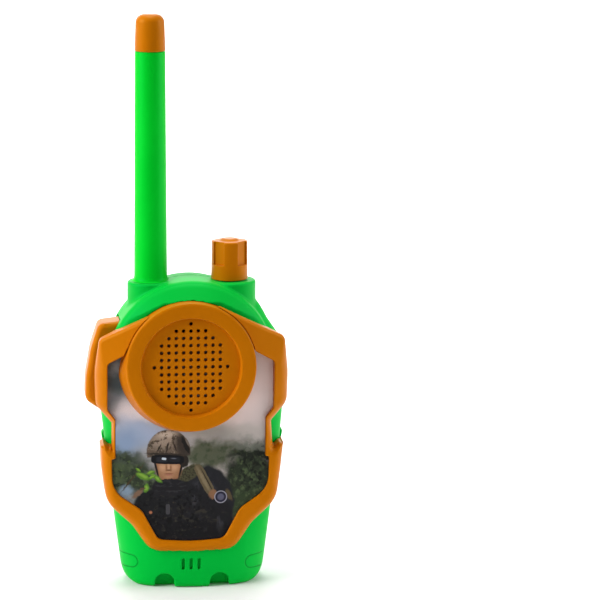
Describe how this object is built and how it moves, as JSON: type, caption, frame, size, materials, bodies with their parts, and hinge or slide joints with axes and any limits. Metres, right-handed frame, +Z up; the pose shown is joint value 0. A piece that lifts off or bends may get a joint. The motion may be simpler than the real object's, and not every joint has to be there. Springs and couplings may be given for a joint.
{
  "type": "toy walkie talkie",
  "caption": "Green toy walkie talkie with orange bezel, round speaker cover, stub antenna, volume knob, side talk button, picture card, battery door and belt clip.",
  "frame": {"origin": "middle of the flat underside, on the front shell", "axes": "+Z up along the antenna, front with the speaker facing -Y, +X to the viewer's right from the front"},
  "size_m": [0.0749, 0.0431, 0.213],
  "materials": {
    "casing_plastic": "semi-matte moulded green plastic",
    "antenna_plastic": "semi-matte soft green plastic",
    "trim_plastic": "semi-matte moulded orange plastic",
    "printed_card": "satin printed card",
    "white_plastic": "plain moulded white plastic",
    "cell_can": "metal can in a printed film wrap",
    "contact_brass": "bright pressed sheet and wire",
    "board_laminate": "bare tan laminate",
    "black_resin": "cast black resin and sleeve",
    "cone_paper": "dark pressed paper",
    "red_insulation": "smooth insulation",
    "black_insulation": "smooth insulation",
    "plated_steel": "bright zinc or nickel plate"
  },
  "bodies": {
    "casing": {"front_shell": "casing_plastic", "rear_shell": "casing_plastic", "front_bezel": "trim_plastic", "picture_card": "printed_card", "speaker_cover": "trim_plastic", "antenna_sleeve": "antenna_plastic", "antenna_cap": "trim_plastic", "antenna_wire": "plated_steel", "volume_control_body": "plated_steel", "talk_switch_body": "plated_steel", "speaker_basket": "plated_steel", "speaker_cone": "cone_paper", "speaker_magnet": "plated_steel", "circuit_board": "board_laminate", "chip_blob": "black_resin", "crystal": "plated_steel", "loading_coil": "contact_brass", "tuning_can_1": "plated_steel", "tuning_can_2": "plated_steel", "capacitor_1": "black_resin", "capacitor_2": "black_resin", "microphone": "plated_steel", "battery_cell_1": "cell_can", "battery_cell_2": "cell_can", "battery_cell_3": "cell_can", "battery_spring_1": "plated_steel", "battery_spring_2": "plated_steel", "battery_spring_3": "plated_steel", "battery_contact_1": "contact_brass", "battery_contact_2": "contact_brass", "battery_contact_3": "contact_brass", "battery_contact_4": "contact_brass", "case_screw_1": "plated_steel", "case_screw_2": "plated_steel", "case_screw_3": "plated_steel", "case_screw_4": "plated_steel", "case_screw_5": "plated_steel", "belt_clip_root": "casing_plastic", "belt_clip_screw_1": "plated_steel", "belt_clip_screw_2": "plated_steel", "speaker_wire_1": "red_insulation", "speaker_wire_2": "red_insulation", "battery_wire_1": "red_insulation", "battery_wire_2": "red_insulation", "microphone_wire_1": "black_insulation", "microphone_wire_2": "black_insulation", "antenna_lead": "black_insulation"},
    "knob": {"volume_knob": "trim_plastic", "volume_shaft": "white_plastic"},
    "talk_button": {"talk_button": "trim_plastic"},
    "switch_plunger": {"talk_switch_plunger": "white_plastic"},
    "battery_door": {"battery_door": "casing_plastic", "battery_door_screw": "plated_steel"},
    "belt_clip": {"belt_clip_tongue": "casing_plastic"}
  },
  "joints": [
    {"name": "talk_press", "type": "hinge", "parent": "casing", "child": "talk_button", "pos_m": [-0.0267, 0, 0.0966], "axis": [0, -1, 0], "range_deg": [0, 4.5], "stiffness_Nm_per_rad": 0.2, "springref_deg": -3.44},
    {"name": "plunger_travel", "type": "slide", "parent": "casing", "child": "switch_plunger", "axis": [1, 0, 0], "range_m": [0, 0.0016]},
    {"name": "volume_turn", "type": "hinge", "parent": "casing", "child": "knob", "pos_m": [0.015, 0, 0.12], "axis": [0, 0, -1], "range_deg": [0, 270]},
    {"name": "door_lift_off", "type": "slide", "parent": "casing", "child": "battery_door", "axis": [0, 1, 0], "range_m": [0, 0.05]},
    {"name": "clip_flex", "type": "hinge", "parent": "casing", "child": "belt_clip", "pos_m": [0, 0.0162, 0.0947], "axis": [1, 0, 0], "range_deg": [0, 10], "stiffness_Nm_per_rad": 0.4, "springref_deg": -2.86}
  ],
  "couplings": [
    {"joint": "plunger_travel", "follows": "talk_press", "m_per_rad": 0.0196}
  ]
}
